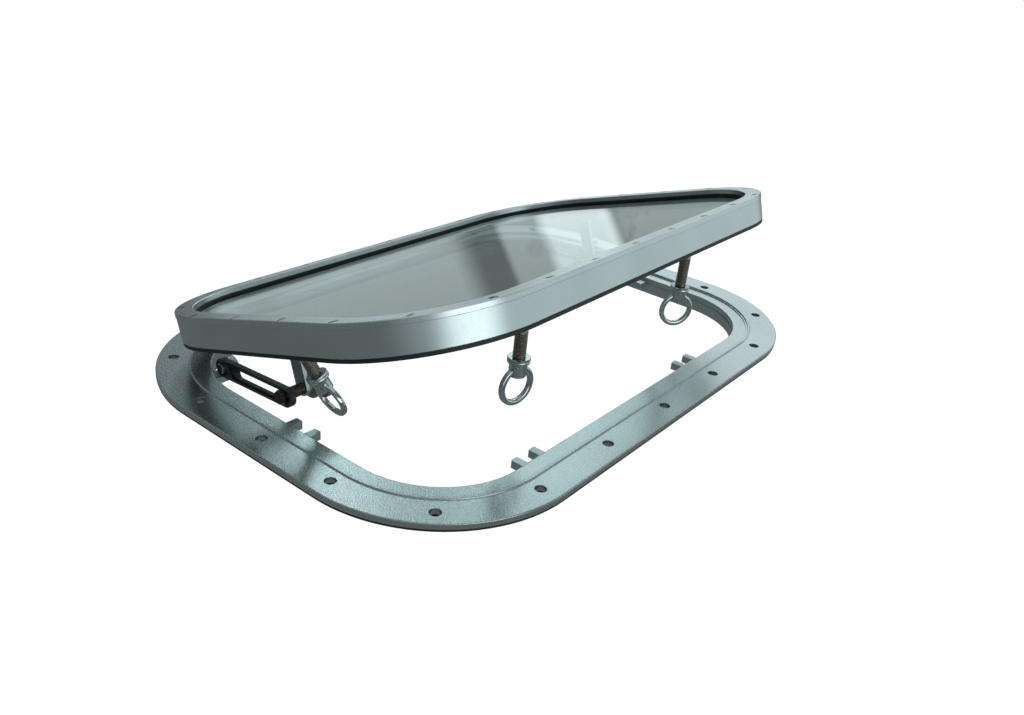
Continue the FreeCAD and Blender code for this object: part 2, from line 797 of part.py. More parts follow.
def clamp_stud():
    """Stud that is fixed in the drop bracket and slides in the arm's slot."""
    stud, pivot = stay_points()
    x_out = -stay_x - stay_thick / 2 - slide_washer_thick - 0.4
    length = drop_x() + drop_thick + knob_gap + knob_length + knob_hub_length - 2 - x_out
    shank = rod(stud_diameter / 2, length, V(x_out, stud.y, stud.z), V(1, 0, 0))
    head = rod(stud_head / 2, stud_head_thick, V(x_out - stud_head_thick, stud.y, stud.z), V(1, 0, 0))
    collar_x = -stay_x + stay_thick / 2 + 0.2 + slide_washer_thick
    collar = rod(stud_diameter / 2 + 2, drop_x() - collar_x, V(collar_x, stud.y, stud.z), V(1, 0, 0))
    return joined(head, [shank, collar])


def slide_washers():
    """Washers on the stud, one on each face of the arm."""
    stud, pivot = stay_points()
    outside = -stay_x - stay_thick / 2 - 0.2 - slide_washer_thick
    inside = -stay_x + stay_thick / 2 + 0.2
    discs = []
    for x in (outside, inside):
        disc = rod(slide_washer / 2, slide_washer_thick, V(x, stud.y, stud.z), V(1, 0, 0))
        bore = rod(stud_diameter / 2 + pivot_clearance, slide_washer_thick + 2, V(x - 1, stud.y, stud.z), V(1, 0, 0))
        discs.append(disc.cut(bore))
    return Part.makeCompound(discs)


def clamp_knob():
    """Round knob on a small hub, screwed on the stud's inner end."""
    stud, pivot = stay_points()
    x0 = drop_x() + drop_thick + knob_gap
    hub = rod(knob_hub_diameter / 2, knob_hub_length, V(x0, stud.y, stud.z), V(1, 0, 0))
    head = rod(knob_diameter / 2, knob_length, V(x0 + knob_hub_length, stud.y, stud.z), V(1, 0, 0))
    rims = [edge for edge in head.Edges if abs(edge.Length - math.pi * knob_diameter) < 0.01]
    body = joined(head.makeChamfer(knob_chamfer, rims), [hub])
    bore = rod(stud_diameter / 2 + thread_clearance, knob_hub_length + knob_length - 1, V(x0 - 1, stud.y, stud.z),
               V(1, 0, 0))
    return body.cut(bore)


# Write the pieces

def all_pieces():
    pieces = {
        "main_frame": main_frame(),
        "hull_gasket": hull_gasket(),
        "sash_frame": open_sash(sash_frame()),
        "sash_gasket": open_sash(sash_gasket()),
        "glass_pane": open_sash(glass_pane()),
        "bed_seal": open_sash(bed_seal()),
        "glazing_seal": open_sash(glazing_seal()),
        "retaining_ring": open_sash(retaining_ring()),
        "ring_screws": open_sash(ring_screws()),
    }
    for name in stations:
        pieces.update(swing_bolt_set(name))
    drop_screws = Part.makeCompound([small_screw(seat, V(0, 0, 1)) for seat in drop_screw_seats()])
    leaf_screws = Part.makeCompound([small_screw(seat, V(0, 0, -1)) for seat in hinge_leaf_seats()])
    arm_screws = Part.makeCompound([small_screw(seat, V(0, -1, 0)) for seat in hinge_arm_seats()])
    pieces["lug_screws"] = Part.makeCompound([on_sash(lug_screw_pair(), name) for name in stations])
    pieces["stay_screws"] = open_sash(Part.makeCompound([drop_screws, mirrored(drop_screws)]))
    pieces["hinge_leaf_screws"] = Part.makeCompound(both_hinges(leaf_screws))
    pieces["hinge_arm_screws"] = open_sash(Part.makeCompound(both_hinges(arm_screws)))
    for side, pick in (("left", 0), ("right", 1)):
        pieces["hinge_leaf_" + side] = both_hinges(hinge_leaf())[pick]
        pieces["hinge_pin_" + side] = both_hinges(hinge_pin())[pick]
        pieces["hinge_arm_" + side] = open_sash(both_hinges(hinge_arm())[pick])
    fixed = {"stay_bracket": stay_bracket(), "stay_pin": stay_pin(), "stay_arm": stay_arm()}
    hung = {"drop_bracket": drop_bracket(), "clamp_stud": clamp_stud(), "slide_washers": slide_washers(),
            "clamp_knob": clamp_knob()}
    for name, shape in fixed.items():
        pieces[name + "_left"] = shape
        pieces[name + "_right"] = mirrored(shape)
    for name, shape in hung.items():
        pieces[name + "_left"] = open_sash(shape)
        pieces[name + "_right"] = open_sash(mirrored(shape))
    return pieces


def main():
    os.makedirs("parts", exist_ok=True)
    for name, shape in all_pieces().items():
        shape.exportStep("parts/" + name + ".step")


if __name__ == "__main__":
    main()
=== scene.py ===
import json
import math

import bmesh
import bpy
from mathutils import Matrix, Vector


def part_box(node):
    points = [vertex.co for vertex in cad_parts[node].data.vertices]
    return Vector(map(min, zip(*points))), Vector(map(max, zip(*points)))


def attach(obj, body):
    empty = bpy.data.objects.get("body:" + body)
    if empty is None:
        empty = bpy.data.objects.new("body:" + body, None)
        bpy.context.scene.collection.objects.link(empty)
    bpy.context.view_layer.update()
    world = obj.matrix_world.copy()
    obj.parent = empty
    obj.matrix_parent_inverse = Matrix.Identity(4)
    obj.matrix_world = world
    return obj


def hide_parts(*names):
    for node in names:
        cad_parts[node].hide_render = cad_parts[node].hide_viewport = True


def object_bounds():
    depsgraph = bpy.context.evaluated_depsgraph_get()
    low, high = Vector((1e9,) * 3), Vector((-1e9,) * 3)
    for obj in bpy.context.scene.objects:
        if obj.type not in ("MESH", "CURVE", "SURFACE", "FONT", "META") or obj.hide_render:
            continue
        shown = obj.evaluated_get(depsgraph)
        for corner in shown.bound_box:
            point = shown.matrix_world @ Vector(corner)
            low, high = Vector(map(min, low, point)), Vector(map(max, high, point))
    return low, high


bl_info = {
    "name": "Ship window",
    "version": (1, 0, 0),
    "blender": (4, 5, 0),
    "location": "3D View > Sidebar > Ship window",
    "description": "Finishes an opening ship window: blasted metal, rubber, glass, threads, screws and knurls",
    "category": "Object",
}

MM = 0.001
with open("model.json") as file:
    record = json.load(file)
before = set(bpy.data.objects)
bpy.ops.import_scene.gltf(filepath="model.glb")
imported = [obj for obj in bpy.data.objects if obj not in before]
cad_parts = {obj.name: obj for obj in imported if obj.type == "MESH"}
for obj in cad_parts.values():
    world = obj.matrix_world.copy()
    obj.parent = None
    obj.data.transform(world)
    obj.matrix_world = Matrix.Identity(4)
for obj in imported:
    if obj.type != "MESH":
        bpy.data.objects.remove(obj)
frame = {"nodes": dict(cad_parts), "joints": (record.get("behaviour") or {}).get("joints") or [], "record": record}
cad_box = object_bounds()
nodes = frame["nodes"]
joints = {joint["name"]: joint for joint in frame["joints"]}
STATIONS = ("front_left", "front_right", "left", "right")
SIDES = ("left", "right")

# Outlines are (radius, height) in mm. A swing bolt's height runs along its axis, from its pivot down to its free end
# below zero; its eye's runs along the pivot pin.
EYE_OUTLINE = [(4.05, -4.6), (4.45, -5.0), (7.9, -5.0), (8.5, -4.4), (8.5, 4.4), (7.9, 5.0), (4.45, 5.0), (4.05, 4.6)]
NECK_OUTLINE = [(0.01, -7.0), (4.2, -7.0), (5.9, -9.5), (5.9, -15.5), (5.0, -16.3), (0.01, -16.3)]
THREAD_RADIUS = 6.0
THREAD_LENGTH = 41.0
THREAD_END = -57.2
# The bolt's dark root is painted shade: a cylinder in the dark oiled-steel colour, ROOT_SHOWS mm proud of the thread's
# core between ROOT_ENDS, that darkens the grooves between the ridges
ROOT_ENDS = (-16.4, -56.9)
ROOT_SHOWS = 0.1
# A ring nut's height is measured from the face that meets its washer
COLLAR_OUTLINE = [(6.12, 0.0), (9.7, 0.0), (10.3, -0.35), (10.5, -1.0), (10.5, -2.6), (10.2, -3.4), (9.5, -4.0),
                  (8.7, -4.6), (8.25, -5.6), (8.25, -15.4), (7.9, -16.3), (7.2, -16.9), (6.12, -17.0)]
WASHER_RADII = (6.1, 10.5)
WASHER_EDGE = 0.4
FINGER_RING_RADIUS = 16.9
FINGER_RING_CENTRE = 19.5
WIRE_HALF = 2.6
WIRE_SQUARENESS = 0.55
RING_BORE = 6.14
RING_BORE_LENGTH = 24.0
# A knob's height is measured from the end towards the stay arm
KNOB_OUTLINE = [(4.15, 0.0), (7.6, 0.0), (8.0, 0.4), (8.0, 4.0), (12.2, 4.0), (12.9, 4.8), (12.9, 17.2), (12.2, 18.0),
                (9.2, 18.0), (8.6, 17.4), (5.2, 17.4), (4.15, 17.8)]
GRIP_MIDDLE = 11
GRIP_RADIUS = 12.75
GRIP_LENGTH = 11.6
GRIP_RIDGE = 1.05


# Colour and nodes

def linear(text):
    """Linear colour from an sRGB hex value."""
    values = [int(text[i:i + 2], 16) / 255 for i in (1, 3, 5)]
    return [v / 12.92 if v <= 0.04045 else ((v + 0.055) / 1.055) ** 2.4 for v in values] + [1.0]


def put(tree, kind, inputs=None, **settings):
    """Add a node; settings are its attributes, inputs are values or output sockets for its own sockets."""
    made = tree.nodes.new(kind)
    for key, value in settings.items():
        setattr(made, key, value)
    for key, value in (inputs or {}).items():
        if isinstance(value, bpy.types.NodeSocket):
            tree.links.new(value, made.inputs[key])
        else:
            made.inputs[key].default_value = value
    return made


def new_material(name):
    material = bpy.data.materials.new(name)
    material.use_nodes = True
    tree = material.node_tree
    tree.nodes.clear()
    shader = put(tree, "ShaderNodeBsdfPrincipled")
    put(tree, "ShaderNodeOutputMaterial", {"Surface": shader.outputs[0]})
    return material, tree, shader


def object_place(tree):
    return put(tree, "ShaderNodeTexCoord").outputs["Object"]


def grain(tree, size_mm, detail=2.0, stretch=(1, 1, 1)):
    """Noise whose lumps are about this many millimetres across, stretched along an axis where asked."""
    place = put(tree, "ShaderNodeMapping", {"Vector": object_place(tree), "Scale": stretch}).outputs[0]
    noise = put(tree, "ShaderNodeTexNoise", {"Vector": place, "Scale": 1 / (size_mm * MM), "Detail": detail})
    return noise.outputs["Fac"]


def between(tree, factor, low, high, from_low=0.3, from_high=0.7):
    return put(tree, "ShaderNodeMapRange", {"Value": factor, "From Min": from_low, "From Max": from_high,
                                            "To Min": low, "To Max": high}).outputs[0]


def blend_colours(tree, factor, first, second):
    mix = put(tree, "ShaderNodeMix", data_type="RGBA")
    for socket, value in zip((mix.inputs[0], mix.inputs[6], mix.inputs[7]), (factor, first, second)):
        if isinstance(value, bpy.types.NodeSocket):
            tree.links.new(value, socket)
        else:
            socket.default_value = value
    return mix.outputs[2]


# Materials

def blasted_aluminium(name, colours, grit_mm, rough, glint_and_bump, edge_mm=0.0):
    """Aluminium, bead blasted and left bare: a cool soft grey, with faint painted glints: random near-white specks in
    the base colour stand in for single dents that face the light.

    The real grit is about 0.2 mm; it is drawn at about 1 mm, because the finer one can't show.
    """
    material, tree, shader = new_material(name)
    shader.inputs["Metallic"].default_value = 1.0
    grit = grain(tree, grit_mm, 2.0)
    cloud = grain(tree, 70.0)
    dents = put(tree, "ShaderNodeTexVoronoi", {"Vector": object_place(tree), "Scale": 1 / (grit_mm * MM)})
    speck = put(tree, "ShaderNodeSeparateColor", {"Color": dents.outputs["Color"]})
    # Painted glints: the brightest Voronoi cells are blended towards near-white in the base colour; the same number
    # also sets the bump's strength
    painted_glint = between(tree, speck.outputs[0], 0.0, glint_and_bump, 0.80, 0.98)
    ground = blend_colours(tree, between(tree, cloud, 0.0, 1.0), linear(colours[0]), linear(colours[1]))
    grey = blend_colours(tree, between(tree, grit, 0.0, 0.3), ground, linear(colours[2]))
    tree.links.new(blend_colours(tree, painted_glint, grey, linear("#f2f6f7")), shader.inputs["Base Color"])
    tree.links.new(between(tree, grit, rough, rough + 0.08), shader.inputs["Roughness"])
    bump = put(tree, "ShaderNodeBump", {"Strength": 0.06 + 0.2 * glint_and_bump, "Distance": 0.1 * MM, "Height": grit})
    if edge_mm:
        soft = put(tree, "ShaderNodeBevel", {"Radius": edge_mm * MM}, samples=4)
        tree.links.new(soft.outputs[0], bump.inputs["Normal"])
    tree.links.new(bump.outputs[0], shader.inputs["Normal"])
    return material


def moulded_rubber(name, colour):
    """Black EPDM rubber, moulded: dull, with a faint bloom."""
    material, tree, shader = new_material(name)
    bloom = grain(tree, 9.0, 3.0)
    tree.links.new(blend_colours(tree, between(tree, bloom, 0.0, 1.0), linear(colour), linear("#2a3135")),
                   shader.inputs["Base Color"])
    tree.links.new(between(tree, bloom, 0.48, 0.66), shader.inputs["Roughness"])
    bump = put(tree, "ShaderNodeBump", {"Strength": 0.2, "Distance": 0.05 * MM, "Height": grain(tree, 1.2)})
    tree.links.new(bump.outputs[0], shader.inputs["Normal"])
    return material


def float_glass(name, colour):
    """Toughened float glass: clear and glossy with a cool green-grey cast, and a faint roll wave."""
    material, tree, shader = new_material(name)
    shader.inputs["Base Color"].default_value = linear(colour)
    shader.inputs["Transmission Weight"].default_value = 1.0
    shader.inputs["IOR"].default_value = 1.52
    tree.links.new(between(tree, grain(tree, 35.0), 0.0, 0.02), shader.inputs["Roughness"])
    wave = grain(tree, 120.0, 1.0, (1, 3, 1))
    bump = put(tree, "ShaderNodeBump", {"Strength": 0.05, "Distance": 0.2 * MM, "Height": wave})
    tree.links.new(bump.outputs[0], shader.inputs["Normal"])
    return material


def polished_stainless(name, colours, roughness):
    """Stainless steel, machined and tumbled: bright, with small hazy patches from handling."""
    material, tree, shader = new_material(name)
    shader.inputs["Metallic"].default_value = 1.0
    haze = grain(tree, 5.0, 3.0)
    tree.links.new(blend_colours(tree, between(tree, haze, 0.0, 1.0), linear(colours[0]), linear(colours[1])),
                   shader.inputs["Base Color"])
    tree.links.new(between(tree, haze, roughness[0], roughness[1]), shader.inputs["Roughness"])
    bump = put(tree, "ShaderNodeBump", {"Strength": 0.08, "Distance": 0.05 * MM, "Height": grain(tree, 1.0)})
    tree.links.new(bump.outputs[0], shader.inputs["Normal"])
    return material


def greased_thread(name, dark, light):
    """Steel under a film of old grease: brown-grey, patchy and half glossy. Given dark colours, it is also the painted
    shade at the swing bolts' thread roots.
    """
    material, tree, shader = new_material(name)
    shader.inputs["Metallic"].default_value = 0.85
    film = grain(tree, 2.5, 3.0)
    tree.links.new(blend_colours(tree, between(tree, film, 0.0, 1.0), linear(dark), linear(light)),
                   shader.inputs["Base Color"])
    tree.links.new(between(tree, film, 0.30, 0.50), shader.inputs["Roughness"])
    return material


def stoved_enamel(name, colour):
    """Dark stoved enamel on steel: a blue-black gloss with light wear."""
    material, tree, shader = new_material(name)
    wear = grain(tree, 7.0, 4.0)
    tree.links.new(blend_colours(tree, between(tree, wear, 0.0, 1.0, 0.55, 0.75), linear(colour), linear("#3b484c")),
                   shader.inputs["Base Color"])
    tree.links.new(between(tree, wear, 0.26, 0.45), shader.inputs["Roughness"])
    shader.inputs["Coat Weight"].default_value = 0.4
    shader.inputs["Coat Roughness"].default_value = 0.2
    bump = put(tree, "ShaderNodeBump", {"Strength": 0.15, "Distance": 0.1 * MM, "Height": grain(tree, 3.0)})
    tree.links.new(bump.outputs[0], shader.inputs["Normal"])
    return material


MATERIALS = {}


def make_materials(finish):
    MATERIALS.update({
        "frame_metal": blasted_aluminium("Bead-blasted aluminium, frame", ("#c4cdcf", "#d0d8da", "#a9b3b5"),
                                         1.1, 0.24, 0.35, 0.8),
        "sash_metal": blasted_aluminium("Satin aluminium, sash", ("#c6cfd0", "#d2dadb", "#b9c2c4"),
                                        0.9, 0.30, 0.08, 0.8),
        "ring_metal": blasted_aluminium("Satin aluminium, ring", ("#cad2d4", "#d4dcdd", "#bcc5c7"),
                                        0.9, 0.26, 0.08, 0.5),
        "fitting_metal": blasted_aluminium("Bead-blasted aluminium, fittings", ("#bfc8c9", "#cdd5d6", "#a6b0b2"),
                                           0.9, 0.30, 0.2, 0.4),
        "rubber_black": moulded_rubber("Moulded rubber", finish.rubber),
        "pane": float_glass("Toughened float glass", finish.glass),
        "stainless": polished_stainless("Tumbled stainless steel", ("#b7bdbf", "#d9dedf"), (0.08, 0.20)),
        "steel_pin": polished_stainless("Turned steel", ("#8f9494", "#b4b8b8"), (0.28, 0.42)),
        "screw_steel": polished_stainless("Pickled screw steel", ("#8f9799", "#c9cfd1"), (0.12, 0.24)),
        "arm_paint": stoved_enamel("Stoved enamel", finish.arm),
        "knob_zinc": polished_stainless("Dull zinc plate", ("#8b9290", "#a9afad"), (0.38, 0.55)),
        "thread": greased_thread("Greased rolled thread", "#a19a90", "#cbc5bc"),
        # Dark oiled steel: the clamp studs' own colour, and on the swing bolts painted shade at the thread's root
        "oiled_steel_and_root_shade": greased_thread("Oiled steel and painted root shade", "#3b342b", "#6b6053"),
    })


# Meshes

def link_mesh(name, mesh):
    piece = bpy.data.objects.new(name, mesh)
    bpy.context.scene.collection.objects.link(piece)
    return piece


def from_bmesh(name, shape, place, material, smooth_angle=35.0):
    """Finished piece from a bmesh: placed by its vertices, outward faces, smooth where it is round."""
    bmesh.ops.remove_doubles(shape, verts=shape.verts, dist=1e-6)
    bmesh.ops.recalc_face_normals(shape, faces=shape.faces)
    shape.transform(place)
    mesh = bpy.data.meshes.new(name)
    shape.to_mesh(mesh)
    shape.free()
    mesh.polygons.foreach_set("use_smooth", [True] * len(mesh.polygons))
    mesh.set_sharp_from_angle(angle=math.radians(smooth_angle))
    mesh.materials.append(material)
    return link_mesh(name, mesh)


def lathe(shape, outline, axis="Z", steps=64):
    """Closed solid of revolution from (radius, height) points in mm; a closed outline makes a ring."""
    columns = []
    for step in range(steps):
        angle = 2 * math.pi * step / steps
        column = []
        for radius, height in outline:
            point = (radius * math.cos(angle), radius * math.sin(angle), height)
            point = {"Z": point, "X": (point[2], point[0], point[1])}[axis]
            column.append(shape.verts.new(Vector(point) * MM))
        columns.append(column)
    count = len(outline)
    for step in range(steps):
        a, b = columns[step], columns[(step + 1) % steps]
        for i in range(count):
            j = (i + 1) % count
            shape.faces.new([a[i], b[i], b[j], a[j]])
    bmesh.ops.dissolve_degenerate(shape, dist=1e-7, edges=shape.edges)


def torus(shape, mean, half_wide, half_thick, steps=72, around=20):
    """Ring in the XZ plane with a squarish section, in mm."""
    rows = []
    for step in range(steps):
        angle = 2 * math.pi * step / steps
        row = []
        for turn in range(around):
            t = 2 * math.pi * turn / around
            radial = mean + half_thick * math.copysign(abs(math.cos(t)) ** WIRE_SQUARENESS, math.cos(t))
            across = half_wide * math.copysign(abs(math.sin(t)) ** WIRE_SQUARENESS, math.sin(t))
            row.append(shape.verts.new(Vector((radial * math.sin(angle), across, radial * math.cos(angle))) * MM))
        rows.append(row)
    for step in range(steps):
        a, b = rows[step], rows[(step + 1) % steps]
        for i in range(around):
            j = (i + 1) % around
            shape.faces.new([a[i], a[j], b[j], b[i]])


def loose_parts(name):
    """Vertex places of each separate solid in a CAD node."""
    shape = bmesh.new()
    shape.from_mesh(nodes[name].data)
    bmesh.ops.remove_doubles(shape, verts=shape.verts, dist=1e-6)
    seen = set()
    parts = []
    for vert in shape.verts:
        if vert in seen:
            continue
        part = []
        stack = [vert]
        seen.add(vert)
        while stack:
            one = stack.pop()
            part.append(one.co.copy())
            for edge in one.link_edges:
                other = edge.other_vert(one)
                if other not in seen:
                    seen.add(other)
                    stack.append(other)
        parts.append(part)
    shape.free()
    return parts


def sash_turn():
    """The open sash's rotation at rest, from the closed one."""
    return Matrix.Rotation(math.radians(joints["sash_hinge"]["range_deg"][0]), 3, "X")


def basis(origin, x_axis, z_axis):
    """Placement with its X and Z along two directions at right angles."""
    z = Vector(z_axis).normalized()
    x = Vector(x_axis).normalized()
    y = z.cross(x)
    return Matrix.Translation(Vector(origin)) @ Matrix((x, y, z)).transposed().to_4x4()


def bolt_place(station):
    """Swing bolt's placement at rest: its pivot, X along the pin and Z from the bolt's end to the pivot."""
    swing = joints["bolt_swing_" + station]
    lift = joints["washer_lift_" + station]
    return basis(swing["pos_m"], swing["axis"], lift["axis"])


# Geometry Nodes

def new_tree(name, sockets):
    """Geometry tree with named inputs; gives the tree, its input node and the sockets' identifiers."""
    tree = bpy.data.node_groups.new(name, "GeometryNodeTree")
    tree.interface.new_socket("Geometry", in_out="OUTPUT", socket_type="NodeSocketGeometry")
    tree.interface.new_socket("Geometry", in_out="INPUT", socket_type="NodeSocketGeometry")
    names = {}
    for label, kind in sockets.items():
        names[label] = tree.interface.new_socket(label, in_out="INPUT", socket_type="NodeSocket" + kind).identifier
    return tree, put(tree, "NodeGroupInput"), names


def grown(name, base, tree, names, values, place, body, replaced):
    """Run a tree on a base mesh and keep the result as a plain mesh that rides on a body."""
    holder = link_mesh(name + "_base", base)
    modifier = holder.modifiers.new("pattern", "NODES")
    modifier.node_group = tree
    for label, value in values.items():
        modifier[names[label]] = value
    graph = bpy.context.evaluated_depsgraph_get()
    mesh = bpy.data.meshes.new_from_object(holder.evaluated_get(graph), depsgraph=graph)
    holder.modifiers.remove(modifier)
    bpy.data.objects.remove(holder)
    mesh.name = name
    mesh.transform(place)
    mesh.set_sharp_from_angle(angle=math.radians(35))
    piece = link_mesh(name, mesh)
    return seat(piece, body, replaced)


def seat(piece, body, replaced):
    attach(piece, body)
    if replaced:
        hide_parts(*replaced)
    return piece


def closing(tree, geometry, material):
    """Every tree's end: real geometry, smooth shading and one material."""
    real = put(tree, "GeometryNodeRealizeInstances", {"Geometry": geometry})
    smooth = put(tree, "GeometryNodeSetShadeSmooth", {"Geometry": real.outputs[0]})
    finish = put(tree, "GeometryNodeSetMaterial", {"Geometry": smooth.outputs[0], "Material": material})
    put(tree, "NodeGroupOutput", {"Geometry": finish.outputs[0]})


def slotted_screws_tree():
    """Screw heads with a driver slot on points; each point's normal is the head's axis."""
    tree, given, names = new_tree("Slotted screws", {
        "Head radius": "Float", "Head height": "Float", "Slot width": "Float", "Slot depth": "Float", "Edge": "Float",
        "Metal": "Material", "Seed": "Int"})
    out = given.outputs
    head = put(tree, "GeometryNodeMeshCylinder", {"Vertices": 32, "Radius": out["Head radius"],
                                                  "Depth": out["Head height"]})
    crown = put(tree, "GeometryNodeMeshCone", {"Vertices": 32, "Radius Bottom": out["Head radius"],
                                               "Depth": out["Edge"]})
    narrow = put(tree, "ShaderNodeMath", {0: out["Head radius"], 1: out["Edge"]}, operation="SUBTRACT")
    tree.links.new(narrow.outputs[0], crown.inputs["Radius Top"])
    half = put(tree, "ShaderNodeMath", {0: out["Head height"], 1: 0.5}, operation="MULTIPLY")
    lowered = put(tree, "ShaderNodeMath", {0: half.outputs[0], 1: out["Edge"]}, operation="ADD")
    sunk = put(tree, "ShaderNodeMath", {0: lowered.outputs[0], 1: -1.0}, operation="MULTIPLY")
    body_at = put(tree, "ShaderNodeCombineXYZ", {"Z": sunk.outputs[0]})
    crown_at = put(tree, "ShaderNodeMath", {0: out["Edge"], 1: -1.0}, operation="MULTIPLY")
    crown_vec = put(tree, "ShaderNodeCombineXYZ", {"Z": crown_at.outputs[0]})
    put_head = put(tree, "GeometryNodeTransform", {"Geometry": head.outputs["Mesh"], "Translation": body_at.outputs[0]})
    put_crown = put(tree, "GeometryNodeTransform", {"Geometry": crown.outputs["Mesh"],
                                                    "Translation": crown_vec.outputs[0]})
    long = put(tree, "ShaderNodeMath", {0: out["Head radius"], 1: 2.4}, operation="MULTIPLY")
    tall = put(tree, "ShaderNodeMath", {0: out["Slot depth"], 1: 2.0}, operation="MULTIPLY")
    size = put(tree, "ShaderNodeCombineXYZ", {"X": long.outputs[0], "Y": out["Slot width"], "Z": tall.outputs[0]})
    blade = put(tree, "GeometryNodeMeshCube", {"Size": size.outputs[0]})
    both = put(tree, "GeometryNodeMeshBoolean", {"Mesh 2": put_head.outputs[0]}, operation="UNION")
    tree.links.new(put_crown.outputs[0], both.inputs["Mesh 2"])
    cut = put(tree, "GeometryNodeMeshBoolean", {"Mesh 1": both.outputs[0], "Mesh 2": blade.outputs["Mesh"]},
              operation="DIFFERENCE")
    normal = put(tree, "GeometryNodeInputNamedAttribute", {"Name": "axis"}, data_type="FLOAT_VECTOR")
    aim = put(tree, "FunctionNodeAlignRotationToVector", {"Vector": normal.outputs[0]}, axis="Z")
    spin = put(tree, "FunctionNodeRandomValue", {"Seed": out["Seed"]}, data_type="FLOAT")
    spin.inputs[2].default_value = -0.3
    spin.inputs[3].default_value = 0.3
    turn = put(tree, "ShaderNodeCombineXYZ", {"Z": spin.outputs[1]})
    turned = put(tree, "FunctionNodeRotateRotation", {"Rotation": aim.outputs[0], "Rotate By": turn.outputs[0]},
                 rotation_space="LOCAL")
    points = put(tree, "GeometryNodeInstanceOnPoints", {"Points": out["Geometry"], "Instance": cut.outputs["Mesh"],
                                                        "Rotation": turned.outputs[0]})
    closing(tree, points.outputs[0], out["Metal"])
    return tree, names


def thread_tree():
    """Screw thread: a ridge along a helix, standing on a core."""
    tree, given, names = new_tree("Thread", {"Length": "Float", "Pitch": "Float", "Outer radius": "Float",
                                             "Core radius": "Float", "Metal": "Material"})
    out = given.outputs
    turns = put(tree, "ShaderNodeMath", {0: out["Length"], 1: out["Pitch"]}, operation="DIVIDE")
    mean = put(tree, "ShaderNodeMath", {0: out["Core radius"], 1: 0.05 * MM}, operation="SUBTRACT")
    helix = put(tree, "GeometryNodeCurveSpiral", {"Resolution": 28, "Rotations": turns.outputs[0],
                                                  "Start Radius": mean.outputs[0],
                                                  "End Radius": mean.outputs[0], "Height": out["Length"]})
    up = put(tree, "GeometryNodeSetCurveNormal", {"Curve": helix.outputs[0]})
    up.mode = "Z_UP"
    rise = put(tree, "ShaderNodeMath", {0: out["Outer radius"], 1: mean.outputs[0]}, operation="SUBTRACT")
    base = put(tree, "ShaderNodeMath", {0: out["Pitch"], 1: 0.66}, operation="MULTIPLY")
    crest = put(tree, "ShaderNodeMath", {0: out["Pitch"], 1: 0.24}, operation="MULTIPLY")
    ridge = put(tree, "GeometryNodeCurvePrimitiveQuadrilateral", {
        "Bottom Width": base.outputs[0], "Top Width": crest.outputs[0], "Height": rise.outputs[0], "Offset": 0.0},
                mode="TRAPEZOID")
    half = put(tree, "ShaderNodeMath", {0: rise.outputs[0], 1: 0.5}, operation="MULTIPLY")
    lift = put(tree, "ShaderNodeCombineXYZ", {"Y": half.outputs[0]})
    centred = put(tree, "GeometryNodeTransform", {"Geometry": ridge.outputs[0], "Translation": lift.outputs[0]})
    turned = put(tree, "GeometryNodeTransform", {"Geometry": centred.outputs[0], "Rotation": (0, 0, math.radians(90))})
    sweep = put(tree, "GeometryNodeCurveToMesh", {"Curve": up.outputs[0], "Profile Curve": turned.outputs[0],
                                                  "Fill Caps": True})
    core = put(tree, "GeometryNodeMeshCylinder", {"Vertices": 40, "Radius": out["Core radius"], "Depth": out["Length"]})
    middle = put(tree, "ShaderNodeMath", {0: out["Length"], 1: 0.5}, operation="MULTIPLY")
    seat_at = put(tree, "ShaderNodeCombineXYZ", {"Z": middle.outputs[0]})
    placed = put(tree, "GeometryNodeTransform", {"Geometry": core.outputs["Mesh"], "Translation": seat_at.outputs[0]})
    both = put(tree, "GeometryNodeJoinGeometry", {"Geometry": sweep.outputs[0]})
    tree.links.new(placed.outputs[0], both.inputs[0])
    closing(tree, both.outputs[0], out["Metal"])
    return tree, names


def bored_tree():
    """A finger ring opened by the bolt's bore, which runs from the ring's middle towards the nut."""
    tree, given, names = new_tree("Bored ring", {"Bore": "Float", "Length": "Float", "Metal": "Material"})
    out = given.outputs
    drill = put(tree, "GeometryNodeMeshCylinder", {"Vertices": 64, "Radius": out["Bore"], "Depth": out["Length"]})
    half = put(tree, "ShaderNodeMath", {0: out["Length"], 1: 0.5}, operation="MULTIPLY")
    start = put(tree, "ShaderNodeCombineXYZ", {"Z": half.outputs[0]})
    placed = put(tree, "GeometryNodeTransform", {"Geometry": drill.outputs["Mesh"], "Translation": start.outputs[0]})
    cut = put(tree, "GeometryNodeMeshBoolean", {"Mesh 1": out["Geometry"], "Mesh 2": placed.outputs[0]},
              operation="DIFFERENCE")
    closing(tree, cut.outputs["Mesh"], out["Metal"])
    return tree, names


